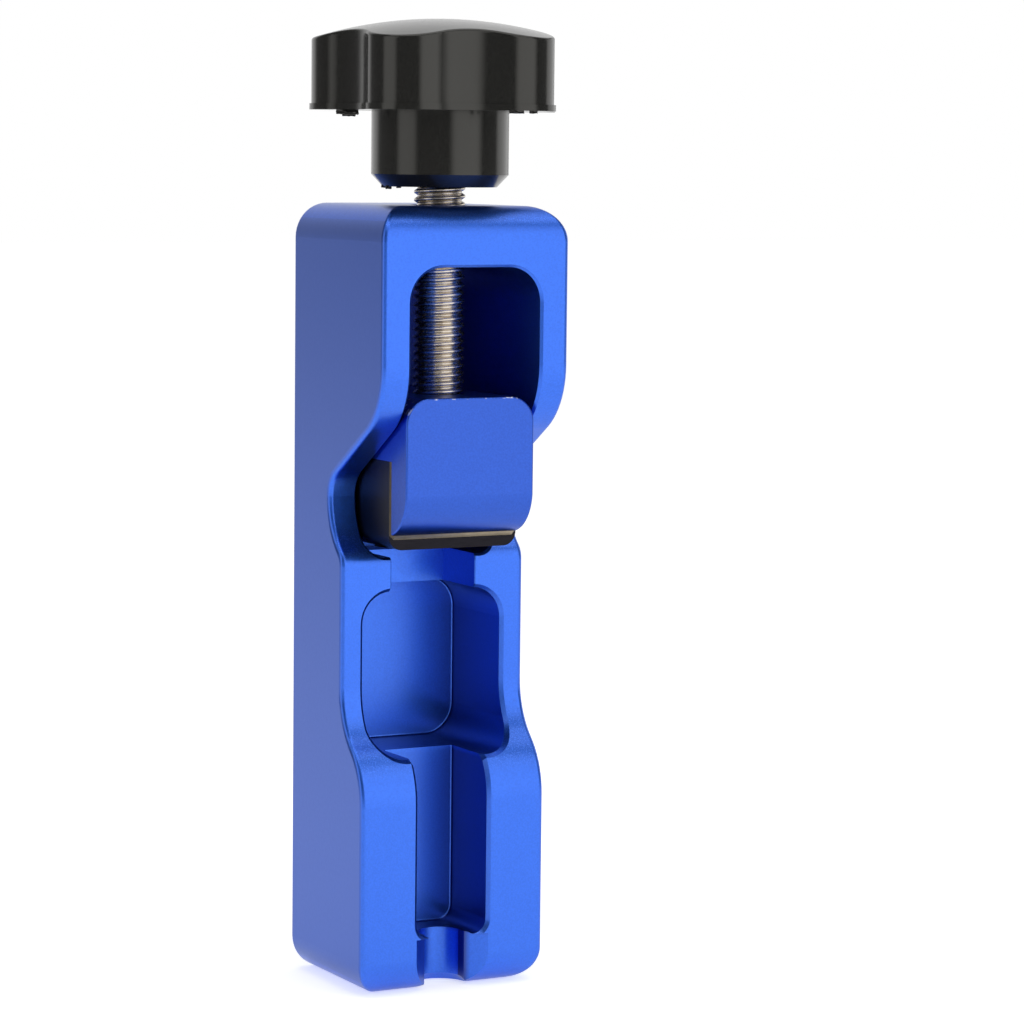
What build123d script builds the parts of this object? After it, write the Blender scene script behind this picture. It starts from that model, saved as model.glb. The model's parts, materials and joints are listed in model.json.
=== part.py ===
from build123d import *
import os
from math import acos, cos, degrees, pi, radians, sin, tan

# Spark plug gap tool: a milled body, a jaw that slides in its window and a screw with a knob.
# Millimetres. The base square is centred on the origin, the open front faces -Y and up is +Z.

# Billet
body_width = 32.0
body_depth = 32.0
body_height = 122.8
corner_radius = 5.4
nose_radius = 5.4
edge_break = 0.8
back_wall = 1.5

# Milled front, with its depths measured back from the front plane
heel_depth = 6.24
heel_drop = 6.65
step_depth = 13.89
scallop_depth = 18.65
sweep_radius = 12.0
scallop_low_radius = 11.0
scallop_high_radius = 4.6
flank_angle = 57.5

# Screw axis, measured back from the front plane
spindle_from_front = 12.9

# Window that the jaw slides in, from the ledge up to the bored top wall
window_width = 22.3
top_wall = 9.25
window_corner = 5.4
ledge_corner = 3.0
window_chamfer = 0.4
ledge_height = 67.9
crest_rise = 0.4
crest_round = 3.2

# Slot for the plug's thread, pocket for its hexagon, channel for its insulator, below the ledge
mouth_chamfer = 0.55
thread_slot_width = 14.7
thread_slot_reach = 12.0
thread_slot_chamfer = 0.15
hex_pocket_width = 24.2
hex_pocket_drop = 5.35
hex_pocket_length = 25.85
hex_pocket_corner = 5.0
floor_fillet = 0.3
channel_width = 12.2
channel_bottom = 8.6
channel_corner = 2.3
channel_reach = 5.85

# Slot for the plug's terminal, with a flared front and a round back
terminal_slot_width = 7.0
terminal_slot_reach = 1.1
funnel_width = 12.6
exit_chamfer = 1.2

# Screw, and the journal at its end that carries the jaw
spindle_diameter = 8.0
spindle_clearance = 0.08
bore_countersink = 0.6
journal_diameter = 6.0
thrust_gap = 0.05
journal_play = 0.15
shoulder_chamfer = 0.5
grip_length = 20.0

# Jaw block, a saddle over the anvil
jaw_side_clearance = 0.1
jaw_back_clearance = 0.3
jaw_front_depth = 1.7
jaw_corner = 4.0
jaw_edge_round = 0.35
jaw_nose = 5.0
jaw_nose_rise = 0.75
socket_depth = 3.7
web_thickness = 3.4

# Hardened anvil: a bevelled block with a lower pad, its corners rounded to clear the window's
anvil_depth = 18.0
anvil_height = 12.15
anvil_chamfer = 0.7
pad_rise = 1.9
pad_thickness = 1.65
pad_corner = 2.2

# Screw and washer that hold the spindle in the block
washer_diameter = 10.0
washer_thickness = 1.0
cavity_clearance = 0.4
head_gap = 0.2
end_screw_diameter = 4.0
end_screw_length = 8.0
end_screw_head_diameter = 7.6
end_screw_head_height = 1.5
end_screw_key = 2.5
end_screw_key_depth = 0.9

# Countersunk screws that hold the anvil
anvil_screw_diameter = 3.0
anvil_screw_head_diameter = 5.6
anvil_screw_length = 18.0
anvil_screw_inset = 3.3
anvil_screw_sink = 0.1
anvil_screw_key = 2.0
anvil_screw_key_depth = 1.0
shank_clearance = 0.15
seat_clearance = 0.02
hole_spare = 0.6

# Knob
lobe_count = 5
lobe_reach = 20.0
lobe_radius = 7.0
valley_reach = 16.0
first_lobe_angle = -136.5
head_height = 14.1
dome_radius = 65.0
dome_round = 0.5
rim_height = 0.95
rim_proud = 0.3
hub_diameter = 21.35
hub_height = 11.7
neck_length = 2.8
hub_chamfer_width = 1.8
hub_chamfer_height = 1.9

# Places that follow from the sizes above
front_y = -body_depth / 2
back_y = body_depth / 2
heel_y = front_y + heel_depth
step_y = front_y + step_depth
scallop_y = front_y + scallop_depth
spindle_y = front_y + spindle_from_front
deep_floor_y = back_y - back_wall
cutter_front_y = front_y - corner_radius
crest_z = ledge_height + crest_rise
window_top = body_height - top_wall
hex_pocket_top = ledge_height - hex_pocket_drop
hex_pocket_bottom = hex_pocket_top - hex_pocket_length
heel_top = hex_pocket_bottom - heel_drop

jaw_width = window_width - 2 * jaw_side_clearance
jaw_front_y = front_y + jaw_front_depth
jaw_back_y = deep_floor_y - jaw_back_clearance
anvil_front_y = jaw_front_y + jaw_nose
anvil_back_y = anvil_front_y + anvil_depth
pad_bottom = ledge_height + pad_rise
anvil_bottom = pad_bottom + pad_thickness
anvil_top = anvil_bottom + anvil_height
jaw_nose_bottom = anvil_bottom + jaw_nose_rise

# The stack in the saddle, from the anvil up: screw head, washer, journal and web
screw_head_bottom = anvil_top + head_gap
washer_bottom = screw_head_bottom + end_screw_head_height
journal_end = washer_bottom + washer_thickness
web_bottom = journal_end + journal_play
web_top = web_bottom + web_thickness
jaw_top = web_top + socket_depth

hub_bottom = body_height + neck_length
head_bottom = hub_bottom + hub_height
head_top = head_bottom + head_height
spindle_top = hub_bottom + grip_length

# The side profile's arcs and the flank that joins them, as y and z
low_turn = acos(1 - (step_y - heel_y) / (2 * sweep_radius))
step_bottom = heel_top + 2 * sweep_radius * sin(low_turn)
scallop_low_y = scallop_y - scallop_low_radius
scallop_turn = acos((step_y - scallop_low_y) / scallop_low_radius)
scallop_z = crest_z + scallop_low_radius * sin(scallop_turn)
flank_turn = radians(flank_angle)
flank_low_y = scallop_y - scallop_high_radius * (1 - cos(flank_turn))
flank_low_z = scallop_z + scallop_high_radius * sin(flank_turn)
flank_high_y = front_y + sweep_radius * (1 - cos(flank_turn))
flank_high_z = flank_low_z + (flank_low_y - flank_high_y) / tan(flank_turn)
shoulder_z = flank_high_z + sweep_radius * sin(flank_turn)


def turned(low, high, radius, lower_radius=None):
    """Round bar on the screw axis, a cone where its lower end has a radius of its own."""
    height = high - low
    place = Pos(0, spindle_y, low + height / 2)
    if lower_radius is None:
        return place * Cylinder(radius, height)
    return place * Cone(lower_radius, radius, height)


def side_profile():
    """Outline of the body seen from the side, as y and z: two milled sweeps and a rounded crest."""
    heel = Line((back_y, 0), (heel_y + nose_radius, 0))
    heel += CenterArc((heel_y + nose_radius, nose_radius), nose_radius, 270, -90)
    heel += Line((heel_y, nose_radius), (heel_y, heel_top))
    sweep = CenterArc((heel_y + sweep_radius, heel_top), sweep_radius, 180, -degrees(low_turn))
    turn = degrees(low_turn)
    sweep += CenterArc((step_y - sweep_radius, step_bottom), sweep_radius, -turn, turn)
    sweep += Line((step_y, step_bottom), (step_y, crest_z))
    turn = degrees(scallop_turn)
    scallop = CenterArc((scallop_low_y, scallop_z), scallop_low_radius, -turn, turn)
    scallop += CenterArc((scallop_y - scallop_high_radius, scallop_z), scallop_high_radius, 0, flank_angle)
    scallop += Line((flank_low_y, flank_low_z), (flank_high_y, flank_high_z))
    shoulder = CenterArc((front_y + sweep_radius, shoulder_z), sweep_radius, 180 + flank_angle, -flank_angle)
    shoulder += Line((front_y, shoulder_z), (front_y, body_height - nose_radius))
    shoulder += CenterArc((front_y + nose_radius, body_height - nose_radius), nose_radius, 180, -90)
    back = Polyline((front_y + nose_radius, body_height), (back_y, body_height), (back_y, 0))
    side = make_face(heel + sweep + scallop + shoulder + back)
    crest = side.vertices().sort_by_distance((step_y, crest_z, 0))[0]
    return fillet(crest, crest_round)


def billet():
    """Body before its pockets: the side profile within the front outline, with its edges broken."""
    side = extrude(Plane.YZ * side_profile(), amount=body_width / 2, both=True)
    front = pocket_cutter(body_width, 0, body_height, corner_radius, back_y)
    blank = side & front
    outer = blank.edges().filter_by(Axis.X, reverse=True).filter_by(Axis.Y, reverse=True)
    back = blank.faces().sort_by(Axis.Y)[-1].edges().filter_by(Axis.X)
    return fillet(outer + back, edge_break)


def pocket_cutter(width, bottom, top, corner, floor_y):
    """Cutter for a pocket with round corners, from clear of the front back to its floor."""
    outline = Pos(0, (bottom + top) / 2) * RectangleRounded(width, top - bottom, corner)
    return extrude(Plane.XZ.offset(-floor_y) * outline, amount=floor_y - cutter_front_y)


def slot_cutter(width, bottom, top, floor_y):
    """Cutter for a slot with square ends, from clear of the front back to its floor."""
    outline = Pos(0, (bottom + top) / 2) * Rectangle(width, top - bottom)
    return extrude(Plane.XZ.offset(-floor_y) * outline, amount=floor_y - cutter_front_y)


def mouth_edges(body, width, bottom, top, limit_y):
    """Edges where the walls of a pocket meet the milled front, between two heights."""
    slack = edge_break / 10
    edges = ShapeList()
    for edge in body.edges().filter_by(Axis.Y, reverse=True):
        box = edge.bounding_box()
        inside = max(-box.min.X, box.max.X) < width / 2 + slack
        between = box.min.Z > bottom - slack and box.max.Z < top + slack
        if inside and between and box.max.Y < limit_y:
            edges.append(edge)
    return edges


def cut_window(body):
    """Cut the jaw's window down to the ledge, tighter in its low corners, and bevel its mouth."""
    middle = (ledge_height + window_top) / 2
    body -= pocket_cutter(window_width, ledge_height, window_top, window_corner, deep_floor_y)
    body -= pocket_cutter(window_width, ledge_height, middle, ledge_corner, deep_floor_y)
    mouth = mouth_edges(body, window_width, crest_z, window_top, scallop_y + edge_break)
    return chamfer(mouth, window_chamfer)


def cut_hex_pocket(body):
    """Cut the pocket for the plug's hexagon, with a rounded floor and a bevelled mouth."""
    cutter = pocket_cutter(hex_pocket_width, hex_pocket_bottom, hex_pocket_top,
                           hex_pocket_corner, deep_floor_y)
    body -= fillet(cutter.faces().sort_by(Axis.Y)[-1].edges(), floor_fillet)
    mouth = mouth_edges(body, hex_pocket_width, hex_pocket_bottom, hex_pocket_top, step_y + edge_break)
    return chamfer(mouth, mouth_chamfer)


def cut_channel(body):
    """Cut the channel for the plug's insulator up into the hexagon's pocket."""
    floor_y = spindle_y + channel_reach
    cutter = slot_cutter(channel_width, channel_bottom, hex_pocket_bottom + hex_pocket_corner, floor_y)
    low = [edge for edge in cutter.edges().filter_by(Axis.Y) if edge.center().Z < hex_pocket_bottom]
    cutter = fillet(low, channel_corner)
    body -= fillet(cutter.faces().sort_by(Axis.Y)[-1].edges(), floor_fillet)
    mouth = mouth_edges(body, channel_width, channel_bottom, hex_pocket_bottom, step_y)
    return chamfer(mouth, mouth_chamfer)


def cut_thread_slot(body):
    """Cut the slot for the plug's thread between the hexagon's pocket and the window."""
    middle = (hex_pocket_bottom + hex_pocket_top) / 2
    body -= slot_cutter(thread_slot_width, middle, jaw_nose_bottom, spindle_y + thread_slot_reach)
    low = hex_pocket_top - mouth_chamfer
    sides = mouth_edges(body, thread_slot_width, low, crest_z, step_y + 2 * mouth_chamfer)
    return chamfer(sides.filter_by(Axis.X, reverse=True), thread_slot_chamfer)


def cut_terminal_slot(body):
    """Cut the terminal's slot through the bottom, with its flare and its countersunk exit."""
    half = terminal_slot_width / 2
    round_y = spindle_y + terminal_slot_reach - half
    flare = funnel_width / 2
    spread = flare + heel_y - cutter_front_y
    slot = Pos(0, (round_y + cutter_front_y) / 2) * Rectangle(terminal_slot_width, round_y - cutter_front_y)
    slot += Pos(0, round_y) * Circle(half)
    funnel = make_face(Polyline((-spread, cutter_front_y), (spread, cutter_front_y),
                                (half, heel_y + flare - half), (-half, heel_y + flare - half), close=True))
    body -= Pos(0, 0, -exit_chamfer) * extrude(slot + funnel, amount=channel_bottom + exit_chamfer)
    return body - Pos(0, round_y, exit_chamfer / 2) * Cone(half + exit_chamfer, half, exit_chamfer)


def bore_top(body):
    """Bore the top wall for the screw, with a small countersink."""
    radius = spindle_diameter / 2 + spindle_clearance
    body -= turned(window_top - window_corner, body_height + bore_countersink, radius)
    return body - turned(body_height - bore_countersink, body_height, radius + bore_countersink, radius)


def part_body():
    """Body, milled from one billet."""
    body = cut_channel(cut_hex_pocket(billet()))
    body = cut_window(cut_thread_slot(body))
    return bore_top(cut_terminal_slot(body))


def span_z(low, high):
    """Slab between two heights, wider than the part."""
    return Pos(0, 0, (low + high) / 2) * Box(2 * body_width, 2 * body_depth, high - low)


def part_jaw_block():
    """Jaw block: a saddle over the anvil, with a socket for the screw and a cavity for its washer."""
    outline = Polyline((anvil_front_y, jaw_nose_bottom), (anvil_front_y, anvil_top),
                       (anvil_back_y, anvil_top), (anvil_back_y, jaw_nose_bottom),
                       (jaw_back_y, jaw_nose_bottom), (jaw_back_y, jaw_top),
                       (jaw_front_y, jaw_top), (jaw_front_y, jaw_nose_bottom + jaw_nose))
    outline += CenterArc((anvil_front_y, jaw_nose_bottom + jaw_nose), jaw_nose, 180, 90)
    block = extrude(Plane.YZ * make_face(outline), amount=jaw_width / 2, both=True)
    block = fillet(block.faces().sort_by(Axis.Z)[-1].edges().filter_by(Axis.Y), jaw_corner)
    nose_limit = anvil_front_y - jaw_edge_round
    nose = [edge for edge in block.edges().filter_by(Axis.X, reverse=True) if edge.center().Y < nose_limit]
    top_limit = jaw_top - jaw_edge_round
    top_front = [edge for edge in block.edges().filter_by(Axis.X) if edge.center().Z > top_limit]
    block = fillet(nose + ShapeList(top_front).sort_by(Axis.Y)[:1], jaw_edge_round)
    block -= turned(web_top, jaw_top + socket_depth, spindle_diameter / 2 + spindle_clearance)
    block -= turned(web_bottom, web_top, journal_diameter / 2 + spindle_clearance)
    block -= turned(anvil_top, web_bottom, washer_diameter / 2 + cavity_clearance)
    hole_top = pad_bottom + anvil_screw_length + hole_spare
    for hole in anvil_screw_places():
        block -= hole * bar(anvil_top, hole_top, anvil_screw_diameter / 2 + seat_clearance)
    return block


def part_anvil():
    """Anvil: the bevelled block that the saddle holds, and the pad that presses the electrode."""
    depth = anvil_back_y - anvil_front_y
    block = Box(jaw_width, depth, anvil_top - anvil_bottom)
    block = Pos(0, (anvil_front_y + anvil_back_y) / 2, (anvil_top + anvil_bottom) / 2) * block
    front = block.faces().sort_by(Axis.Y)[0].edges().filter_by(Axis.Z)
    bottom = block.faces().sort_by(Axis.Z)[0].edges()
    block = chamfer(front + bottom, anvil_chamfer)
    outline = RectangleRounded(jaw_width, anvil_top - pad_bottom, pad_corner)
    outline = Pos(0, (pad_bottom + anvil_top) / 2) * outline
    pad_front_y = anvil_front_y + anvil_chamfer
    pad = extrude(Plane.XZ.offset(-anvil_back_y) * outline, amount=anvil_back_y - pad_front_y)
    anvil = block + (pad & span_z(pad_bottom, anvil_bottom + anvil_chamfer))
    for hole in anvil_screw_places():
        anvil -= hole * bar(pad_bottom, anvil_top, anvil_screw_diameter / 2 + shank_clearance)
        anvil -= hole * countersink(seat_clearance)
    return anvil


def anvil_screw_places():
    """Places of the two screws, each side of the screw axis."""
    reach = jaw_width / 2 - anvil_screw_inset
    return [Pos(side * reach, spindle_y, 0) for side in (-1, 1)]


def bar(low, high, radius):
    """Upright round bar between two heights."""
    return Pos(0, 0, (low + high) / 2) * Cylinder(radius, high - low)


def countersink(clearance):
    """Cone of a countersunk head, sunk a little into the pad, grown by a clearance."""
    head = anvil_screw_head_diameter / 2 + clearance
    low = pad_bottom + anvil_screw_sink - clearance
    cone = Pos(0, 0, low + head / 2) * Cone(head, 0, head)
    return cone + bar(pad_bottom - clearance, low, head)


def hex_recess(bottom, depth, key):
    """Recess for a hexagon key, cut up into the underside of a head."""
    return Pos(0, 0, bottom) * extrude(RegularPolygon(key / 2, 6, major_radius=False), amount=depth)


def part_anvil_screws():
    """Two countersunk screws, from the pad up into the block."""
    screws = []
    low = pad_bottom + anvil_screw_sink
    for place in anvil_screw_places():
        screw = countersink(0) & span_z(low, anvil_top)
        screw += bar(low + anvil_screw_key_depth, pad_bottom + anvil_screw_length, anvil_screw_diameter / 2)
        screw -= hex_recess(low, anvil_screw_key_depth, anvil_screw_key)
        screws.append(place * screw)
    return Compound(children=screws)


def part_spindle():
    """Screw: a plain bar at the thread's outer size, its end turned down to the journal."""
    shoulder = web_top + thrust_gap
    radius = spindle_diameter / 2
    bevel = shoulder + shoulder_chamfer
    spindle = turned(bevel, spindle_top, radius)
    spindle += turned(shoulder, bevel, radius, radius - shoulder_chamfer)
    spindle += turned(journal_end, shoulder, journal_diameter / 2)
    return spindle - turned(journal_end, journal_end + end_screw_length + hole_spare,
                            end_screw_diameter / 2 + seat_clearance)


def part_end_washer():
    """Washer that carries the block on the end of the screw."""
    hole = end_screw_diameter / 2 + shank_clearance
    return turned(washer_bottom, journal_end, washer_diameter / 2) - turned(washer_bottom, journal_end, hole)


def part_end_screw():
    """Low-headed screw that holds the washer to the end of the screw."""
    screw = turned(screw_head_bottom, washer_bottom, end_screw_head_diameter / 2)
    screw += turned(washer_bottom, journal_end + end_screw_length, end_screw_diameter / 2)
    recess = hex_recess(screw_head_bottom, end_screw_key_depth, end_screw_key)
    return screw - Pos(0, spindle_y, 0) * recess


def polar(radius, angle):
    """Point at a distance and an angle from the centre."""
    return Vector(radius * cos(angle), radius * sin(angle))


def lobed_face():
    """The knob's head seen from above: round lobes joined by hollow arcs that are tangent to them."""
    half = pi / lobe_count
    center = lobe_reach - lobe_radius
    shortfall = center**2 + valley_reach**2 - 2 * center * valley_reach * cos(half) - lobe_radius**2
    valley_radius = shortfall / (2 * (lobe_radius - valley_reach + center * cos(half)))
    share = lobe_radius / (lobe_radius + valley_radius)
    outline = []
    for index in range(lobe_count):
        angle = radians(first_lobe_angle) + 2 * half * index
        lobe = polar(center, angle)
        joints = [lobe + (polar(valley_reach + valley_radius, side) - lobe) * share
                  for side in (angle - half, angle + half)]
        next_lobe = polar(center, angle + 2 * half)
        next_joint = next_lobe + (polar(valley_reach + valley_radius, angle + half) - next_lobe) * share
        outline.append(ThreePointArc(joints[0], polar(lobe_reach, angle), joints[1]))
        outline.append(ThreePointArc(joints[1], polar(valley_reach, angle + half), next_joint))
    return Pos(0, spindle_y) * make_face(Curve() + outline)


def part_knob():
    """Knob, moulded in one piece: a domed head with a parting rim, and a hub that grips the screw."""
    face = lobed_face()
    dome = Pos(0, spindle_y, head_top - dome_radius) * Sphere(dome_radius)
    head = extrude(Pos(0, 0, head_bottom) * face, amount=head_top - head_bottom) & dome
    crown = [edge for edge in head.edges() if edge.center().Z > head_bottom + (head_top - head_bottom) / 2]
    crown = ShapeList(crown).filter_by(Axis.Z, reverse=True)
    head = fillet(crown, dome_round)
    rim = extrude(Pos(0, 0, head_bottom) * offset(face, rim_proud), amount=rim_height)
    bevel_top = hub_bottom + hub_chamfer_height
    hub = turned(bevel_top, head_bottom + rim_height, hub_diameter / 2)
    hub += turned(hub_bottom, bevel_top, hub_diameter / 2, hub_diameter / 2 - hub_chamfer_width)
    knob = head + rim + hub
    return knob - turned(hub_bottom, spindle_top, spindle_diameter / 2 + seat_clearance)


parts = {
    "body": part_body,
    "jaw_block": part_jaw_block,
    "anvil": part_anvil,
    "anvil_screws": part_anvil_screws,
    "spindle": part_spindle,
    "end_washer": part_end_washer,
    "end_screw": part_end_screw,
    "knob": part_knob,
}

os.makedirs("parts", exist_ok=True)
for name, build in parts.items():
    export_step(build(), f"parts/{name}.step")
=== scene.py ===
"""Looks of a spark plug gap tool: its finishes, its rolled screw, its stage and its camera.

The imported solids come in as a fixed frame, in metres, with the open milled front towards -Y
and +Z up. Body, anvil and knob keep their solids and get their finishes here. The saddle gets
a longer round on its nose, the screw its rolled thread, and the knob the torn flash that its
mould left on it.
"""

import json
import logging
import math
from dataclasses import dataclass
from enum import Enum
from typing import Callable

import bpy
from mathutils import Matrix, Vector

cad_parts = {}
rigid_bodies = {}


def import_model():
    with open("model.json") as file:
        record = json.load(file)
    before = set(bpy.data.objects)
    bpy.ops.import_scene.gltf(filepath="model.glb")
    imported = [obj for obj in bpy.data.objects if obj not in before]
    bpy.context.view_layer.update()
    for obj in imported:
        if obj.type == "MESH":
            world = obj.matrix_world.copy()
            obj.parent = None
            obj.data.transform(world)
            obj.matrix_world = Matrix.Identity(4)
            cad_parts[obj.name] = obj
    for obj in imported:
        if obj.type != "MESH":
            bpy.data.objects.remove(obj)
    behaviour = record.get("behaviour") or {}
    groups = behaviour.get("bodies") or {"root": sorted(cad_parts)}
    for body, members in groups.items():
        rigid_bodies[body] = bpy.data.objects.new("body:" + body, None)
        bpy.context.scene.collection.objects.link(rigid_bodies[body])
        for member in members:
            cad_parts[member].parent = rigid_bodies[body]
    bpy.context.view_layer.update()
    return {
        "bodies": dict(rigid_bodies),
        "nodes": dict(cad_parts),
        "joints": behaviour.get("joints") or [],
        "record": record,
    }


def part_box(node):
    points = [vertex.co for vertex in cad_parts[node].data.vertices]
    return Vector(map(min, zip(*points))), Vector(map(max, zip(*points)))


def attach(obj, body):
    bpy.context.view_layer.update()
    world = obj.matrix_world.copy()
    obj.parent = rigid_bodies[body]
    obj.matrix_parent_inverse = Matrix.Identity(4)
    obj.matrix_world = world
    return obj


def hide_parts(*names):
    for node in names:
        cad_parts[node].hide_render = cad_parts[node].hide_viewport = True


MM = 0.001
NEAR = 0.01 * MM
WELD = 0.001 * MM
CUT_SLACK = 0.0001 * MM
MOST_NOISE = (0.3, 0.7)
WHITE = (1.0, 1.0, 1.0, 1.0)

Colour = tuple[float, float, float]
Span = tuple[float, float]
Socket = bpy.types.NodeSocket

log = logging.getLogger("gap_tool")


class Slot(Enum):
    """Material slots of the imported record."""

    BLUE = "anodised_blue"
    STAINLESS = "stainless_steel"
    PHENOLIC = "black_phenolic"


class Rides(Enum):
    """Bodies that new pieces move with."""

    JAW = "jaw"
    SCREW = "screw"


class Cut(Enum):
    """Ways in which a tool shapes a piece."""

    JOIN = "UNION"
    DRILL = "DIFFERENCE"
    TRIM = "INTERSECT"


class MixSocket(Enum):
    """Numbers of the mix node's colour sockets, which share their names with others."""

    FIRST = 6
    SECOND = 7
    RESULT = 2


class Graph:
    """Node tree of one material or of the world, built a node at a time."""

    def __init__(self, owner: bpy.types.ID) -> None:
        """Clear the tree of a material or world.

        Args:
            owner: Material or world that holds the tree.
        """
        owner.use_nodes = True
        self.tree = owner.node_tree
        self.tree.nodes.clear()

    def add(self, kind: str, inputs: dict | None = None, **settings: object) -> bpy.types.Node:
        """Add a node.

        Args:
            kind: Node type, such as ShaderNodeBump.
            inputs: Values or output sockets by input name or number.
            settings: Properties of the node.

        Returns:
            The new node.
        """
        node = self.tree.nodes.new(kind)
        for name, value in settings.items():
            setattr(node, name, value)
        for name, value in (inputs or {}).items():
            if isinstance(value, Socket):
                self.tree.links.new(value, node.inputs[name])
            else:
                node.inputs[name].default_value = value
        return node

    def parts(self, vector: Socket) -> dict[str, Socket]:
        """Return a vector's X, Y and Z by their letters."""
        outputs = self.add("ShaderNodeSeparateXYZ", {"Vector": vector}).outputs
        return {letter: outputs[letter] for letter in "XYZ"}

    def along(self, vector: Socket, direction: tuple[float, float, float]) -> Socket:
        """Return how far a vector reaches along a direction."""
        inputs = {0: vector, 1: direction}
        return self.add("ShaderNodeVectorMath", inputs, operation="DOT_PRODUCT").outputs["Value"]

    def noise(self, place: Socket, scale: float, detail: float = 2.0) -> Socket:
        """Return a noise, about 0.5 on average, with its scale in cells to the metre."""
        inputs = {"Vector": place, "Scale": scale, "Detail": detail}
        return self.add("ShaderNodeTexNoise", inputs).outputs["Fac"]

    def stretched(self, place: Socket, scales: tuple[float, float, float]) -> Socket:
        """Return a place scaled on its three axes, so that a pattern on it is drawn out."""
        return self.add("ShaderNodeMapping", {"Vector": place, "Scale": scales}).outputs[0]

    def spread(self, value: Socket, low: float, high: float,
               to_low: float = 0.0, to_high: float = 1.0) -> Socket:
        """Return a value carried from one range to another, and held within it.

        Args:
            value: Socket with the value.
            low: Value that becomes to_low.
            high: Value that becomes to_high.
            to_low: Result at low.
            to_high: Result at high.

        Returns:
            The carried value.
        """
        inputs = {"Value": value, "From Min": low, "From Max": high, "To Min": to_low, "To Max": to_high}
        return self.add("ShaderNodeMapRange", inputs).outputs["Result"]

    def fade(self, value: Socket, low: float, high: float) -> Socket:
        """Return a soft step from 0 at one value to 1 at another, the first larger or smaller."""
        inputs = {"Value": value, "From Min": low, "From Max": high}
        return self.add("ShaderNodeMapRange", inputs, interpolation_type="SMOOTHSTEP").outputs["Result"]

    def math(self, operation: str, first: Socket, second: Socket | float = 0.0) -> Socket:
        """Return the result of an operation, such as MAXIMUM, on one or two values."""
        return self.add("ShaderNodeMath", {0: first, 1: second}, operation=operation).outputs[0]

    def product(self, *factors: Socket | float) -> Socket:
        """Multiply values.

        Args:
            factors: Two or more sockets or numbers, the first a socket.

        Returns:
            Their product.
        """
        result = factors[0]
        for factor in factors[1:]:
            result = self.math("MULTIPLY", result, factor)
        return result

    def blend(self, share: Socket, first: Socket | Colour, second: Socket | Colour) -> Socket:
        """Mix two colours.

        Args:
            share: Share of the second colour.
            first: First colour, or its socket.
            second: Second colour, or its socket.

        Returns:
            The mixed colour.
        """
        mix = self.add("ShaderNodeMix", {"Factor": share}, data_type="RGBA")
        for place, colour in ((MixSocket.FIRST, first), (MixSocket.SECOND, second)):
            socket = mix.inputs[place.value]
            if isinstance(colour, Socket):
                self.tree.links.new(colour, socket)
            else:
                socket.default_value = (*colour, 1.0)
        return mix.outputs[MixSocket.RESULT.value]

    def bump(self, height: Socket, depth: float) -> Socket:
        """Return a normal disturbed by a height from 0 to 1, as deep as a depth in metres."""
        return self.add("ShaderNodeBump", {"Height": height, "Distance": depth}).outputs["Normal"]

    def finish(self, shader: bpy.types.Node) -> None:
        """Join a surface shader to the material's output."""
        self.add("ShaderNodeOutputMaterial", {"Surface": shader.outputs[0]})


@dataclass(frozen=True)
class Finish:
    """Finish of a piece, whose kinds each draw their own nodes."""

    name: str

    def material(self) -> bpy.types.Material:
        """Make the finish.

        Returns:
            The finish as a material.
        """
        made = bpy.data.materials.new(self.name)
        graph = Graph(made)
        graph.finish(self.shader(graph))
        return made

    def shader(self, graph: Graph) -> bpy.types.Node:
        """Draw the finish's nodes and return its surface shader."""
        raise NotImplementedError


@dataclass(frozen=True)
class Hollow:
    """Recess whose surfaces get painted shade: their colour darkens towards the back, where light hardly
    reaches.
    """

    low: float
    high: float
    half_width: float
    mouth: float
    back: float
    floor: float = 1.0
    lit: float = 0.0
    edge: float = 0.6 * MM
    rise: float = 0.6 * MM
    floor_facing: Span = (-0.9, -0.5)

    def share(self, graph: Graph, place: Socket, normal: Socket) -> Socket:
        """Find the share of painted shade at a point, from 0 outside the recess to 1 at its back.

        Args:
            graph: Material's graph.
            place: Socket with the point in the part's own space.
            normal: Socket with the surface's normal.

        Returns:
            The painted shade's share, less where the surface faces the mouth, turned by the lit angle to
            the right.
        """
        point = graph.parts(place)
        across = graph.math("ABSOLUTE", point["X"])
        inside = graph.spread(across, self.half_width, self.half_width + self.edge, 1.0, 0.0)
        above = graph.spread(point["Z"], self.low, self.low + self.rise)
        below = graph.spread(point["Z"], self.high, self.high + self.edge, 1.0, 0.0)
        within = graph.math("LESS_THAN", point["Y"], self.back + self.edge)
        deep = graph.spread(point["Y"], self.mouth, self.back)
        turn = math.radians(self.lit)
        backwards = graph.along(normal, (-math.sin(turn), math.cos(turn), 0.0))
        wall = graph.spread(backwards, *self.floor_facing, self.floor, 1.0)
        return graph.product(inside, above, below, within, deep, wall)


# Recesses whose colour is darkened as painted shade, more towards their backs, where the lamps hardly
# reach.
WINDOW = Hollow(low=76 * MM, high=114 * MM, half_width=11.2 * MM, mouth=-6 * MM, back=14.6 * MM,
                rise=18 * MM)
HEX_POCKET = Hollow(low=36 * MM, high=62 * MM, half_width=12.2 * MM, mouth=-5 * MM, back=14.6 * MM,
                    floor=0.05)
CHANNEL = Hollow(low=8 * MM, high=36 * MM, half_width=6.3 * MM, mouth=-16 * MM, back=3 * MM,
                 floor=0.15)
TERMINAL_SLOT = Hollow(low=-1 * MM, high=8.6 * MM, half_width=3.6 * MM, mouth=-17 * MM, back=-5.6 * MM,
                       floor=0.0, lit=80)


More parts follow.
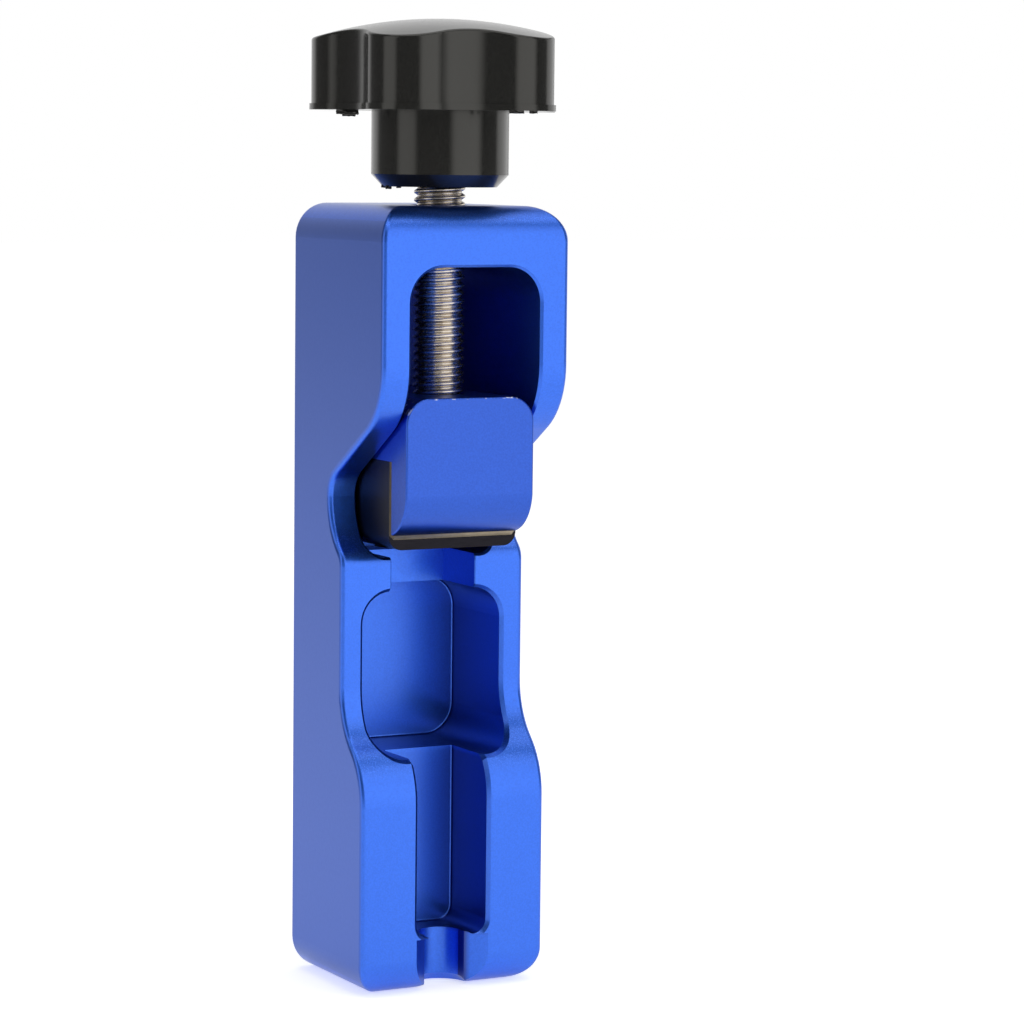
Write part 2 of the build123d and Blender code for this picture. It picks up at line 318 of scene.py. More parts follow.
@dataclass(frozen=True)
class BlastedAnodising(Finish):
    """Aluminium, bead blasted and dyed blue: a grainy metal under a thin clear oxide."""

    dye: Colour
    deep_dye: Colour
    grazing_tint: Colour
    coat: float = 0.8
    coat_roughness: float = 0.28
    roughness: float = 0.36
    roughness_swing: float = 0.03
    grain: float = 3300.0
    grain_span: Span = (0.35, 0.65)
    grain_share: float = 0.7
    grain_depth: float = 0.016 * MM
    pit: float = 1500.0
    # Painted shade: the outer sides take this duller, darker blue.
    side_shade_colour: Colour = (0.033, 0.102, 0.487)
    flank_from: float = 15 * MM
    flank_facing: Span = (0.7, 0.95)
    # Painted highlight: lighter specks on the slopes that face up and forwards.
    painted_glint: Colour = (0.07, 0.24, 1.0)
    glint_upwards: Span = (0.3, 0.6)
    glint_forwards: Span = (-0.15, -0.5)
    # Scale of the painted glint specks, as fine as the blasted grain.
    bead: float = 5610.0
    glint_specks: Span = (0.5, 0.62)
    glint_share: float = 0.75
    bare: Colour = (0.78, 0.80, 0.84)
    wear: float = 0.0
    edge_from: Span = (0.2, 0.4)
    edge_to: Span = (0.98, 0.9)
    speck: float = 900.0
    speck_detail: float = 4.0
    speck_span: Span = (0.55, 0.64)
    # Painted shade: the colour that the recesses darken to towards their backs.
    painted_shade_colour: Colour = (0.012, 0.030, 0.21)
    painted_shade_hollows: tuple[Hollow, ...] = ()

    def shader(self, graph: Graph) -> bpy.types.Node:
        """Draw the dyed metal, its blasted grain, its wear, its sides darkened as painted shade, its
        painted glints and the painted shade in its recesses.

        Args:
            graph: Material's graph.

        Returns:
            The surface shader.
        """
        coordinates = graph.add("ShaderNodeTexCoord").outputs
        place, normal = coordinates["Object"], coordinates["Normal"]
        facing = graph.parts(normal)
        fine = graph.noise(place, self.grain)
        coarse = graph.noise(place, self.pit)
        colour = graph.blend(graph.spread(fine, *self.grain_span), self.deep_dye, self.dye)
        # Painted shade on the outer sides.
        colour = graph.blend(self.painted_side_shade(graph, place, facing), colour, self.side_shade_colour)
        # Painted highlight: glints on the upward and forward slopes.
        colour = graph.blend(self.painted_glints(graph, place, facing), colour, self.painted_glint)
        colour = graph.blend(self.rubbed(graph, place, facing), colour, self.bare)
        # Painted shade: darken the colour deeper in each recess.
        for hollow in self.painted_shade_hollows:
            colour = graph.blend(hollow.share(graph, place, normal), colour, self.painted_shade_colour)
        dents = graph.product(fine, self.grain_share)
        relief = graph.math("ADD", dents, graph.product(coarse, 1 - self.grain_share))
        smooth, rough = self.roughness - self.roughness_swing, self.roughness + self.roughness_swing
        return graph.add("ShaderNodeBsdfPrincipled", {
            "Base Color": colour,
            "Metallic": 1.0,
            "Roughness": graph.spread(coarse, *MOST_NOISE, smooth, rough),
            "Specular Tint": (*self.grazing_tint, 1.0),
            "Coat Weight": self.coat,
            "Coat Roughness": self.coat_roughness,
            "Normal": graph.bump(relief, self.grain_depth),
        })

    def painted_side_shade(self, graph: Graph, place: Socket, facing: dict[str, Socket]) -> Socket:
        """Find the flat outer sides, whose colour is painted a duller, darker blue as shade.

        Args:
            graph: Material's graph.
            place: Socket with the point in the part's own space.
            facing: Parts of the surface's normal.

        Returns:
            1 on the two outer sides and 0 elsewhere.
        """
        across = graph.math("ABSOLUTE", graph.parts(place)["X"])
        sideways = graph.math("ABSOLUTE", facing["X"])
        outside = graph.math("GREATER_THAN", across, self.flank_from)
        return graph.product(outside, graph.fade(sideways, *self.flank_facing))

    def painted_glints(self, graph: Graph, place: Socket, facing: dict[str, Socket]) -> Socket:
        """Find the painted glints: lighter specks of colour where the surface slopes up and forwards.

        Args:
            graph: Material's graph.
            place: Socket with the point in the part's own space.
            facing: Parts of the surface's normal.

        Returns:
            The painted glint's share, and 0 off the slopes.
        """
        upwards = graph.fade(facing["Z"], *self.glint_upwards)
        forwards = graph.fade(facing["Y"], *self.glint_forwards)
        glint_noise = graph.spread(graph.noise(place, self.bead), *self.glint_specks, 0.0, self.glint_share)
        return graph.product(upwards, forwards, glint_noise)

    def rubbed(self, graph: Graph, place: Socket, facing: dict[str, Socket]) -> Socket:
        """Find where handling has rubbed the upper edges down to bare metal.

        Args:
            graph: Material's graph.
            place: Socket with the point in the part's own space.
            facing: Parts of the surface's normal.

        Returns:
            The wear on the bare specks and 0 elsewhere.
        """
        lower = graph.fade(facing["Z"], *self.edge_from)
        upper = graph.fade(facing["Z"], *self.edge_to)
        specks = graph.spread(graph.noise(place, self.speck, self.speck_detail), *self.speck_span)
        return graph.product(lower, upper, specks, self.wear)


@dataclass(frozen=True)
class BlackOxide(Finish):
    """Ground steel with a black oxide, its bevels a warm grey: partly rubbed bare, partly a painted
    reflection of warm light.
    """

    oxide: Colour
    bevel_steel_sheen: Colour
    roughness: float = 0.38
    bevel_roughness: float = 0.3
    grind: float = 5400.0
    grind_detail: float = 3.0
    grind_depth: float = 0.004 * MM
    grind_stretch: tuple[float, float, float] = (0.12, 1.0, 1.0)
    oxide_shade: float = 0.8
    steel_shade: float = 0.85
    bevel_slant: Span = (0.3, 0.45)
    upright_share: float = 0.25
    blotch: float = 900.0
    blotch_span: Span = (0.2, 0.6)
    least_share: float = 0.75

    def shader(self, graph: Graph) -> bpy.types.Node:
        """Draw the oxide with the marks of grinding, and the bevels, worn and with a painted warm
        reflection.

        Args:
            graph: Material's graph.

        Returns:
            The surface shader.
        """
        coordinates = graph.add("ShaderNodeTexCoord").outputs
        place = coordinates["Object"]
        marks = graph.noise(graph.stretched(place, self.grind_stretch), self.grind, self.grind_detail)
        # The bevels' warm grey is partly wear, partly a painted reflection of warm light.
        wear_and_sheen = self.wear_and_sheen(graph, place, graph.parts(coordinates["Normal"]))
        tone = graph.spread(marks, *MOST_NOISE)
        dark_oxide = tuple(self.oxide_shade * part for part in self.oxide)
        dark_steel = tuple(self.steel_shade * part for part in self.bevel_steel_sheen)
        flat = graph.blend(tone, dark_oxide, self.oxide)
        bevel = graph.blend(tone, dark_steel, self.bevel_steel_sheen)
        return graph.add("ShaderNodeBsdfPrincipled", {
            "Base Color": graph.blend(wear_and_sheen, flat, bevel),
            "Metallic": 1.0,
            "Roughness": graph.spread(wear_and_sheen, 0.0, 1.0, self.roughness, self.bevel_roughness),
            "Normal": graph.bump(marks, self.grind_depth),
        })

    def wear_and_sheen(self, graph: Graph, place: Socket, facing: dict[str, Socket]) -> Socket:
        """Find the bevels, which are worn and carry a painted reflection: low ones in front, and fainter
        upright ones.

        Args:
            graph: Material's graph.
            place: Socket with the point in the part's own space.
            facing: Parts of the surface's normal.

        Returns:
            The share of wear and painted reflection, and 0 off the bevels.
        """
        slant = graph.product(facing["Y"], facing["Z"])
        upright = graph.product(graph.math("ABSOLUTE", facing["X"]), facing["Y"])
        forwards = (-limit for limit in self.bevel_slant)
        bevel = graph.math("ADD", graph.spread(slant, *self.bevel_slant),
                           graph.spread(upright, *forwards, 0.0, self.upright_share))
        blotches = graph.noise(place, self.blotch)
        return graph.product(bevel, graph.spread(blotches, *self.blotch_span, self.least_share, 1.0))


@dataclass(frozen=True)
class RolledStainless(Finish):
    """Bare stainless steel, drawn round the screw by the rolling dies."""

    steel: Colour
    tarnish: Colour
    roughness: float = 0.24
    smoother: float = 0.05
    rougher: float = 0.08
    streak: float = 2600.0
    streak_detail: float = 3.0
    streak_depth: float = 0.0015 * MM
    streak_stretch: tuple[float, float, float] = (0.25, 0.25, 3.0)
    stain: float = 450.0
    stain_span: Span = (0.35, 0.7)

    def shader(self, graph: Graph) -> bpy.types.Node:
        """Draw the bare steel, its stains and the streaks round it.

        Args:
            graph: Material's graph.

        Returns:
            The surface shader.
        """
        place = graph.add("ShaderNodeTexCoord").outputs["Object"]
        streaks = graph.noise(graph.stretched(place, self.streak_stretch), self.streak, self.streak_detail)
        stains = graph.spread(graph.noise(place, self.stain), *self.stain_span)
        smooth, rough = self.roughness - self.smoother, self.roughness + self.rougher
        return graph.add("ShaderNodeBsdfPrincipled", {
            "Base Color": graph.blend(stains, self.steel, self.tarnish),
            "Metallic": 1.0,
            "Roughness": graph.spread(streaks, *MOST_NOISE, smooth, rough),
            "Normal": graph.bump(streaks, self.streak_depth),
        })


@dataclass(frozen=True)
class MouldedPhenolic(Finish):
    """Black phenolic from a polished mould, with the faint ripple of its skin."""

    resin: Colour
    bloom: Colour
    sheen: Colour = (1.0, 0.985, 0.93)
    roughness: float = 0.17
    smoother: float = 0.02
    rougher: float = 0.04
    haze: float = 3200.0
    haze_span: Span = (0.4, 0.75)
    ripple: float = 260.0
    ripple_detail: float = 1.0
    ripple_depth: float = 0.012 * MM

    def shader(self, graph: Graph) -> bpy.types.Node:
        """Draw the resin, its bloom and its ripple.

        Args:
            graph: Material's graph.

        Returns:
            The surface shader.
        """
        place = graph.add("ShaderNodeTexCoord").outputs["Object"]
        swell = graph.noise(place, self.ripple, self.ripple_detail)
        haze = graph.noise(place, self.haze)
        smooth, rough = self.roughness - self.smoother, self.roughness + self.rougher
        return graph.add("ShaderNodeBsdfPrincipled", {
            "Base Color": graph.blend(graph.spread(haze, *self.haze_span), self.resin, self.bloom),
            "Roughness": graph.spread(haze, *MOST_NOISE, smooth, rough),
            "Specular Tint": (*self.sheen, 1.0),
            "Normal": graph.bump(swell, self.ripple_depth),
        })


def start_clean() -> None:
    """Deselect every object, so that operators act on the next one alone."""
    bpy.ops.object.select_all(action="DESELECT")


def take(piece: bpy.types.Object) -> None:
    """Select a piece alone and make it the active one.

    Args:
        piece: Object that the next operators act on.
    """
    start_clean()
    piece.select_set(True)
    bpy.context.view_layer.objects.active = piece


def pick(piece: bpy.types.Object, wanted: Callable[[Vector], bool]) -> None:
    """Select the vertices of a piece in edit mode by their place.

    Args:
        piece: Object in edit mode.
        wanted: Test of a vertex's place in the piece's own space.
    """
    bpy.ops.mesh.select_all(action="DESELECT")
    bpy.ops.object.mode_set(mode="OBJECT")
    for vertex in piece.data.vertices:
        vertex.select = wanted(vertex.co)
    bpy.ops.object.mode_set(mode="EDIT")


def shape(piece: bpy.types.Object, tool: bpy.types.Object, cut: Cut) -> None:
    """Join, drill or trim a piece with a tool, which is then thrown away.

    Args:
        piece: Piece to work on.
        tool: Closed mesh to work with.
        cut: What the tool does.
    """
    step = piece.modifiers.new(cut.name, "BOOLEAN")
    step.operation = cut.value
    step.object = tool
    take(piece)
    bpy.ops.object.modifier_apply(modifier=step.name)
    bpy.data.objects.remove(tool)


def apply_all(piece: bpy.types.Object) -> None:
    """Apply a piece's modifiers in order, then its place.

    Args:
        piece: Piece to finish.
    """
    take(piece)
    for modifier in list(piece.modifiers):
        bpy.ops.object.modifier_apply(modifier=modifier.name)
    bpy.ops.object.transform_apply(location=True, rotation=True, scale=True)


def settle(piece: bpy.types.Object, rides: Rides, material: bpy.types.Material) -> None:
    """Dress a finished piece and hang it on its body.

    Args:
        piece: Finished mesh, with its place applied.
        rides: Body that it moves with.
        material: Finish.
    """
    piece.data.materials.clear()
    piece.data.materials.append(material)
    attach(piece, rides.value)
    log.info("%s: %d faces", piece.name, len(piece.data.polygons))


def dress(node: bpy.types.Object, material: bpy.types.Material) -> None:
    """Give a carried-over solid its finish.

    Args:
        node: Solid of the frame.
        material: Finish.
    """
    if not node.material_slots:
        node.data.materials.append(None)
    for place in node.material_slots:
        place.link = "OBJECT"
        place.material = material
    log.info("%s: dressed in %s", node.name, material.name)


def foot_of_axis(low: Vector, high: Vector) -> Vector:
    """Return the point on the floor under the middle of a box."""
    return Vector(((high.x + low.x) / 2, (high.y + low.y) / 2, 0))


def round_axis(bearing: float, reach: float, height: float) -> Vector:
    """Return a step outwards from an axis, at a bearing in degrees, and up by a height."""
    turn = math.radians(bearing)
    return Vector((math.cos(turn) * reach, math.sin(turn) * reach, height))


@dataclass
class Body:
    """Milled and anodised body."""

    finish: BlastedAnodising

    def build(self, frame: dict) -> None:
        """Dress the body's solid."""
        dress(frame["nodes"]["body"], self.finish.material())


@dataclass
class Jaw:
    """Sliding jaw: the blue saddle, the black anvil and what holds them."""

    finish: BlastedAnodising
    anvil_finish: BlackOxide
    nose_radius: float = 7.0 * MM
    nose_rise: float = 6.7 * MM
    nose_steps: int = 24
    edge_round: float = 0.3 * MM
    edge_steps: int = 4
    edge_angle: float = 40.0
    smooth_below: float = 32.0
    face_weight: int = 100
    skin: float = 0.01 * MM
    spare: float = 1.0 * MM

    def build(self, frame: dict) -> None:
        """Round the saddle's nose, and dress the saddle, the anvil and its screws.

        Args:
            frame: Carried-over frame.
        """
        nodes = frame["nodes"]
        saddle = self.saddle(nodes["jaw_block"])
        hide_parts("jaw_block")
        settle(saddle, Rides.JAW, self.finish.material())
        steel = self.anvil_finish.material()
        dress(nodes["anvil"], steel)
        dress(nodes["anvil_screws"], steel)

    def saddle(self, block: bpy.types.Object) -> bpy.types.Object:
        """Round a copy of the saddle's solid in front, further up than the solid is.

        Args:
            block: Carried-over solid of the saddle.

        Returns:
            The saddle with its long, soft nose.
        """
        low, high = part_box("jaw_block")
        start_clean()
        bpy.ops.mesh.primitive_cube_add()
        saddle = bpy.context.object
        saddle.name = "saddle"
        saddle.data = block.data.copy()
        saddle.matrix_world = block.matrix_world
        bpy.ops.object.transform_apply(location=True, rotation=True, scale=True)
        bpy.ops.mesh.customdata_custom_splitnormals_clear()
        bpy.ops.object.mode_set(mode="EDIT")
        bpy.ops.mesh.select_all(action="SELECT")
        bpy.ops.mesh.remove_doubles(threshold=WELD)
        bpy.ops.object.mode_set(mode="OBJECT")
        shape(saddle, self.nose_form(low, high), Cut.TRIM)
        bpy.ops.object.shade_smooth_by_angle(angle=math.radians(self.smooth_below))
        even = saddle.modifiers.new("even", "WEIGHTED_NORMAL")
        even.weight = self.face_weight
        even.keep_sharp = True
        apply_all(saddle)
        return saddle

    def nose_form(self, low: Vector, high: Vector) -> bpy.types.Object:
        """Shape the block that the saddle is trimmed to: a box with a long round in front, edges broken.

        Args:
            low: Lowest corner of the saddle.
            high: Its highest corner.

        Returns:
            The trimming form.
        """
        corner = Vector((low.x + self.skin, low.y - self.skin, low.z + self.nose_rise - self.nose_radius))
        far = Vector((high.x - self.skin, high.y + self.spare, high.z + self.spare))
        start_clean()
        bpy.ops.mesh.primitive_cube_add(size=1, location=(corner + far) / 2)
        form = bpy.context.object
        form.scale = far - corner
        bpy.ops.object.transform_apply(location=True, rotation=True, scale=True)
        bpy.ops.object.mode_set(mode="EDIT")
        pick(form, lambda co: co.y < low.y and co.z < low.z)
        bpy.ops.mesh.bevel(offset=self.nose_radius, segments=self.nose_steps)
        bpy.ops.object.mode_set(mode="OBJECT")
        soften = form.modifiers.new("soften", "BEVEL")
        soften.width = self.edge_round
        soften.segments = self.edge_steps
        soften.limit_method = "ANGLE"
        soften.angle_limit = math.radians(self.edge_angle)
        apply_all(form)
        return form


@dataclass
class Screw:
    """Stainless screw: an M8 thread rolled on the spindle, and the fixings at its end."""

    finish: RolledStainless
    pitch: float = 1.25 * MM
    depth: float = 0.55 * MM
    crest_flat: float = 0.34 * MM
    root_flat: float = 0.22 * MM
    corner_radius: float = 0.13 * MM
    corner_steps: int = 3
    steps: int = 72
    spare_turns: int = 2
    journal_length: float = 3.6 * MM
    journal_diameter: float = 6.0 * MM
    hole_diameter: float = 4.04 * MM
    hole_depth: float = 8.6 * MM
    overlap: float = 0.25 * MM
    round_steps: int = 64
    smooth_below: float = 50.0

    def build(self, frame: dict) -> None:
        """Roll the thread, stand it in for the plain spindle and dress the fixings.

        Args:
            frame: Carried-over frame.
        """
        low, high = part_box("spindle")
        steel = self.finish.material()
        screw = self.thread(low, high)
        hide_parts("spindle")
        settle(screw, Rides.SCREW, steel)
        for name in ("end_washer", "end_screw"):
            dress(frame["nodes"][name], steel)

    def profile(self, place: Vector, crest: float) -> bpy.types.Object:
        """Draw one turn's profile as a standing edge, from root to root.

        Args:
            place: Foot of the profile on the screw's axis.
            crest: Radius of the thread's crest.

        Returns:
            The profile, with its origin on the screw's axis.
        """
        start_clean()
        bpy.ops.mesh.primitive_plane_add(size=self.pitch, location=place, rotation=(math.pi / 2, 0, 0))
        profile = bpy.context.object
        profile.name = "screw"
        bpy.ops.object.transform_apply(location=False, rotation=True, scale=True)
        bpy.ops.object.mode_set(mode="EDIT")
        pick(profile, lambda co: co.x < 0)
        bpy.ops.mesh.delete(type="VERT")
        bpy.ops.mesh.select_all(action="SELECT")
        bpy.ops.transform.translate(value=(crest - self.depth - self.pitch / 2, 0, self.pitch / 2))
        flank = (self.pitch - self.crest_flat - self.root_flat) / 2
        knots = ((self.root_flat / 2, 0.0), (self.root_flat / 2 + flank, self.depth))
        stretches = 2 * len(knots) + 1
        bpy.ops.mesh.subdivide(number_cuts=stretches - 1)
        for index, (height, out) in enumerate(knots, start=1):
            even = self.pitch * index / stretches
            self.move_knot(profile, even, height, out)
            self.move_knot(profile, self.pitch - even, self.pitch - height, out)
        pick(profile, lambda co: NEAR < co.z < self.pitch - NEAR)
        bpy.ops.mesh.bevel(offset=self.corner_radius, segments=self.corner_steps, affect="VERTICES")
        bpy.ops.object.mode_set(mode="OBJECT")
        return profile

    def move_knot(self, profile: bpy.types.Object, now: float, then: float, out: float) -> None:
        """Move one knot of a profile in edit mode from a height to another, and outwards."""
        pick(profile, lambda co: abs(co.z - now) < NEAR)
        bpy.ops.transform.translate(value=(out, 0, then - now))

    def thread(self, low: Vector, high: Vector) -> bpy.types.Object:
        """Roll the thread between the journal's shoulder and the top of the spindle.

        Args:
            low: Lowest corner of the plain spindle.
            high: Its highest corner.

        Returns:
            The threaded screw with its journal.
        """
        crest = (high.x - low.x) / 2
        axis = foot_of_axis(low, high)
        shoulder = low.z + self.journal_length
        screw = self.profile(axis + Vector((0, 0, shoulder - self.pitch)), crest)
        roll = screw.modifiers.new("roll", "SCREW")
        roll.axis = "Z"
        roll.screw_offset = self.pitch
        roll.iterations = math.ceil((high.z - shoulder) / self.pitch) + self.spare_turns
        roll.steps = roll.render_steps = self.steps
        roll.use_merge_vertices = True
        apply_all(screw)
        bpy.ops.object.mode_set(mode="EDIT")
        bpy.ops.mesh.select_all(action="SELECT")
        bpy.ops.mesh.remove_doubles(threshold=WELD)
        for height, upper in ((shoulder, False), (high.z, True)):
            bpy.ops.mesh.select_all(action="SELECT")
            bpy.ops.mesh.bisect(plane_co=(0, 0, height), plane_no=(0, 0, 1), use_fill=True,
                                clear_outer=upper, clear_inner=not upper, threshold=CUT_SLACK)
        bpy.ops.mesh.select_all(action="SELECT")
        bpy.ops.mesh.normals_make_consistent(inside=False)
        bpy.ops.object.mode_set(mode="OBJECT")
        self.turn(screw, axis, self.journal_diameter, low.z, shoulder + self.overlap, Cut.JOIN)
        self.turn(screw, axis, self.hole_diameter, low.z - self.overlap, low.z + self.hole_depth, Cut.DRILL)
        bpy.ops.object.shade_smooth_by_angle(angle=math.radians(self.smooth_below))
        return screw

    def turn(self, screw: bpy.types.Object, axis: Vector, diameter: float, low: float, high: float,
             cut: Cut) -> None:
        """Turn a journal on the screw's end, or drill a hole in it.

        Args:
            screw: Screw to work on.
            axis: Point on the screw's axis.
            diameter: Diameter of the journal or hole.
            low: Height that it starts at.
            high: Height that it ends at.
            cut: JOIN for a journal, DRILL for a hole.
        """
        start_clean()
        bpy.ops.mesh.primitive_cylinder_add(vertices=self.round_steps, radius=diameter / 2,
                                            depth=high - low, location=(axis.x, axis.y, (low + high) / 2))
        shape(screw, bpy.context.object, cut)


@dataclass(frozen=True)
class Shred:
    """Torn end of flash that the mould left hanging under an edge."""

    bearing: float
    reach: float
    top: float
    length: float
    drop: float
    lie: float = -28.0
    thickness: float = 0.45 * MM
    steps: int = 3
    tear: float = 0.25

    def build(self, axis: Vector, seed: int) -> bpy.types.Object:
        """Model the shred.

        Args:
            axis: Point on the knob's axis.
            seed: Seed of its torn outline.

        Returns:
            The shred.
        """
        place = axis + round_axis(self.bearing, self.reach, self.top - self.drop / 2)
        start_clean()
        bpy.ops.mesh.primitive_cube_add(size=1, location=place, rotation=(0, 0, math.radians(self.lie)))
        shred = bpy.context.object
        shred.scale = (self.length, self.thickness, self.drop)
        bpy.ops.object.transform_apply(location=True, rotation=True, scale=True)
        bpy.ops.object.mode_set(mode="EDIT")
        bpy.ops.mesh.select_all(action="SELECT")
        bpy.ops.mesh.subdivide(number_cuts=self.steps)
        bpy.ops.transform.vertex_random(offset=self.drop * self.tear, seed=seed)
        bpy.ops.object.mode_set(mode="OBJECT")
        return shred


@dataclass
class Knob:
    """Moulded knob, with the flash that was never trimmed."""

    finish: MouldedPhenolic
    shreds: tuple[Shred, ...] = (
        Shred(bearing=177, reach=15.6 * MM, top=137.4 * MM, length=3.4 * MM, drop=0.8 * MM),
        Shred(bearing=179, reach=15.6 * MM, top=136.9 * MM, length=2.0 * MM, drop=0.6 * MM),
        Shred(bearing=281.5, reach=18.4 * MM, top=137.35 * MM, length=2.2 * MM, drop=0.45 * MM),
        Shred(bearing=291, reach=18.9 * MM, top=137.35 * MM, length=1.2 * MM, drop=0.4 * MM),
        Shred(bearing=160, reach=8.6 * MM, top=125.8 * MM, length=1.0 * MM, drop=0.4 * MM),
        Shred(bearing=176, reach=8.6 * MM, top=125.75 * MM, length=0.9 * MM, drop=0.5 * MM),
        Shred(bearing=195, reach=8.5 * MM, top=125.75 * MM, length=0.7 * MM, drop=0.35 * MM),
    )

    def build(self, frame: dict) -> None:
        """Dress the knob's solid and hang the flash under it.

        Args:
            frame: Carried-over frame.
        """
        skin = self.finish.material()
        dress(frame["nodes"]["knob"], skin)
        low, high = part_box("spindle")
        axis = foot_of_axis(low, high)
        made = [shred.build(axis, seed) for seed, shred in enumerate(self.shreds)]
        take(made[0])
        for shred in made:
            shred.select_set(True)
        bpy.ops.object.join()
        flash = bpy.context.object
        flash.name = "flash"
        settle(flash, Rides.SCREW, skin)


@dataclass(frozen=True)
class Viewpoint:
    """Camera that stands where the photographer stood."""

    place: Vector
    azimuth: float
    pitch: float
    roll: float
    lens: float
    shift_x: float
    shift_y: float
    sensor: float = 36.0
    nearest: float = 10 * MM

    def build(self) -> None:
        """Add the camera and make it the scene's."""
        turn, tilt, roll = (math.radians(angle) for angle in (self.azimuth, self.pitch, self.roll))
        ahead = Vector((math.sin(turn) * math.cos(tilt), math.cos(turn) * math.cos(tilt), -math.sin(tilt)))
        right = Vector((math.cos(turn), -math.sin(turn), 0))
        up = right.cross(ahead)
        rolled_right = right * math.cos(roll) + up * math.sin(roll)
        rolled_up = up * math.cos(roll) - right * math.sin(roll)
        view = Matrix((rolled_right, rolled_up, -ahead)).transposed().to_4x4()
        bpy.ops.object.camera_add()
        camera = bpy.context.object
        camera.name = "camera"
        camera.matrix_world = Matrix.Translation(self.place) @ view
        camera.data.sensor_width = self.sensor
        camera.data.lens = self.lens
        camera.data.shift_x = self.shift_x
        camera.data.shift_y = self.shift_y
        camera.data.clip_start = self.nearest
        bpy.context.scene.camera = camera


@dataclass(frozen=True)
class Panel:
    """Diffusing screen that faces the tool, brightest in its middle."""

    name: str
    bearing: float
    rise: float
    distance: float
    width: float
    height: float
    brightness: float
    soft: float = 0.5
    gloss_only: bool = False

    def build(self, towards: float, target: Vector) -> None:
        """Add the screen.

        Args:
            towards: Direction from the tool to the camera, in degrees.
            target: Point that the screen faces.
        """
        rise = math.radians(self.rise)
        level, height = math.cos(rise) * self.distance, math.sin(rise) * self.distance
        place = target + round_axis(towards + self.bearing, level, height)
        facing = (target - place).to_track_quat("-Z", "Y").to_euler()
        start_clean()
        bpy.ops.mesh.primitive_plane_add(size=1, location=place, rotation=facing)
        screen = bpy.context.object
        screen.name = self.name
        screen.scale = (self.width, self.height, 1)
        screen.data.materials.append(self.glow())
        screen.visible_camera = screen.visible_shadow = False
        screen.visible_diffuse = not self.gloss_only

    def glow(self) -> bpy.types.Material:
        """Make the screen's light: even in the middle, falling off softly to its edges.

        Returns:
            The light as a material.
        """
        made = bpy.data.materials.new(self.name)
        graph = Graph(made)
        point = graph.parts(graph.add("ShaderNodeTexCoord").outputs["Object"])
        edge = 0.5
        inner = edge - self.soft / 2
        shares = [graph.fade(graph.math("ABSOLUTE", point[letter]), edge, inner) for letter in "XY"]
        strength = graph.product(*shares, self.brightness)
        graph.finish(graph.add("ShaderNodeEmission", {"Color": WHITE, "Strength": strength}))
        return made


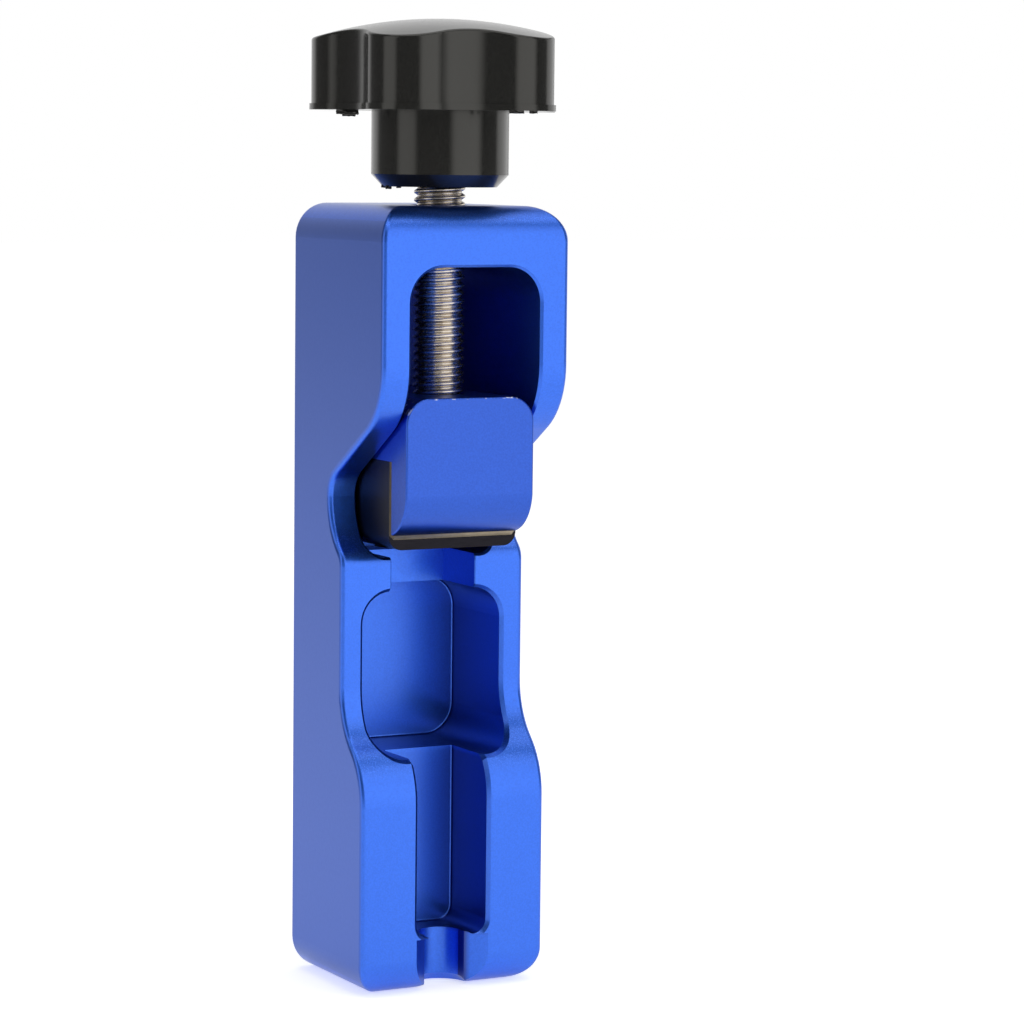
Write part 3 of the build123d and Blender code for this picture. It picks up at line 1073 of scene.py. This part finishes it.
@dataclass
class Studio:
    """Pale floor, white background, dim room and soft lights."""

    towards: float
    target: Vector
    panels: tuple[Panel, ...] = (
        Panel("key", bearing=46, rise=14, distance=0.6, width=0.78, height=1.0, brightness=1.62),
        Panel("side", bearing=-56, rise=14, distance=0.6, width=0.5, height=1.0, brightness=1.3),
        Panel("top", bearing=50, rise=84, distance=0.7, width=1.0, height=1.0, brightness=1.5, soft=0.35),
        Panel("rim", bearing=134, rise=6, distance=0.45, width=0.5, height=0.5, brightness=1.2, soft=0.35,
              gloss_only=True),
    )
    floor_size: float = 8.0
    floor_colour: Colour = (0.86, 0.86, 0.87)
    floor_roughness: float = 0.9
    floor_lift: float = 0.55
    fill: float = 0.55
    room_radius: float = 1.6
    room_steps: int = 72
    room_tone: float = 0.2
    backdrop_edge: Span = (62.0, 46.0)

    def build(self) -> None:
        """Set up the floor, the world, the room and the lights."""
        self.floor()
        self.world()
        self.room()
        for panel in self.panels:
            panel.build(self.towards, self.target)

    def seen(self, graph: Graph) -> Socket:
        """Find what the camera looks at, directly or in gloss or glass.

        Args:
            graph: Graph of the material or world.

        Returns:
            1 where the camera looks and 0 elsewhere.
        """
        path = graph.add("ShaderNodeLightPath").outputs
        seen = graph.math("MAXIMUM", path["Is Camera Ray"], path["Is Glossy Ray"])
        return graph.math("MAXIMUM", seen, path["Is Transmission Ray"])

    def floor(self) -> None:
        """Lay the floor, white to the camera where nothing shades it."""
        start_clean()
        bpy.ops.mesh.primitive_plane_add(size=self.floor_size)
        floor = bpy.context.object
        floor.name = "floor"
        made = bpy.data.materials.new("pale_floor")
        graph = Graph(made)
        shader = graph.add("ShaderNodeBsdfPrincipled", {
            "Base Color": (*self.floor_colour, 1.0),
            "Roughness": self.floor_roughness,
            "Specular IOR Level": 0.0,
            "Emission Color": WHITE,
            "Emission Strength": graph.product(self.seen(graph), self.floor_lift),
        })
        graph.finish(shader)
        floor.data.materials.append(made)

    def world(self) -> None:
        """Make the background white to the camera, gloss and glass, and a dimmer fill to the rest."""
        world = bpy.data.worlds.new("studio")
        bpy.context.scene.world = world
        graph = Graph(world)
        strength = graph.spread(self.seen(graph), 0.0, 1.0, self.fill, 1.0)
        back = graph.add("ShaderNodeBackground", {"Color": WHITE, "Strength": strength})
        graph.add("ShaderNodeOutputWorld", {"Surface": back.outputs[0]})

    def room(self) -> None:
        """Stand the room round the set: dim, and white where the backdrop hangs."""
        start_clean()
        bpy.ops.mesh.primitive_uv_sphere_add(segments=self.room_steps, ring_count=self.room_steps // 2,
                                             radius=self.room_radius)
        room = bpy.context.object
        room.name = "room"
        bpy.ops.object.mode_set(mode="EDIT")
        pick(room, lambda co: co.z < -MM)
        bpy.ops.mesh.delete(type="VERT")
        bpy.ops.object.mode_set(mode="OBJECT")
        made = bpy.data.materials.new("dim_room")
        graph = Graph(made)
        away = math.radians(self.towards + 180)
        place = graph.add("ShaderNodeTexCoord").outputs["Object"]
        ahead = graph.along(place, (math.cos(away), math.sin(away), 0.0))
        dim, white = (self.room_radius * math.cos(math.radians(angle)) for angle in self.backdrop_edge)
        tone = graph.spread(graph.fade(ahead, dim, white), 0.0, 1.0, self.room_tone, 1.0)
        graph.finish(graph.add("ShaderNodeEmission", {"Color": WHITE, "Strength": tone}))
        room.data.materials.append(made)
        room.visible_camera = room.visible_diffuse = room.visible_shadow = False
        room.visible_transmission = False


def main() -> None:
    """Build the tool's looks in order, with the stage and the camera first."""
    logging.basicConfig(level=logging.INFO, format="%(name)s: %(message)s")
    bpy.context.scene.view_settings.view_transform = "Standard"
    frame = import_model()
    view = Viewpoint(place=Vector((-0.25547, -0.50029, 0.13158)), azimuth=28.16, pitch=5.70, roll=0.60,
                     lens=126.19, shift_x=0.01458, shift_y=-0.00504)
    view.build()
    Studio(towards=270 - view.azimuth, target=Vector((0, 0, 80 * MM))).build()
    blue = BlastedAnodising("blue_anodising", dye=(0.021, 0.139, 0.745), deep_dye=(0.017, 0.121, 0.665),
                            grazing_tint=(0.35, 0.42, 0.54),
                            painted_shade_hollows=(WINDOW, HEX_POCKET, CHANNEL, TERMINAL_SLOT))
    jaw_blue = BlastedAnodising("jaw_anodising", dye=(0.016, 0.087, 0.52), deep_dye=(0.013, 0.075, 0.46),
                                grazing_tint=(0.35, 0.42, 0.54), coat=0.6, wear=1.0)
    oxide = BlackOxide("black_oxide", oxide=(0.018, 0.017, 0.021), bevel_steel_sheen=(0.36, 0.30, 0.21))
    stainless = RolledStainless("rolled_stainless", steel=(0.62, 0.57, 0.50), tarnish=(0.5, 0.44, 0.37))
    phenolic = MouldedPhenolic("black_phenolic_skin", resin=(0.0075, 0.0074, 0.0068),
                               bloom=(0.011, 0.011, 0.010))
    Body(blue).build(frame)
    Jaw(jaw_blue, oxide).build(frame)
    Screw(stainless).build(frame)
    Knob(phenolic).build(frame)


if __name__ == "__main__":
    main()
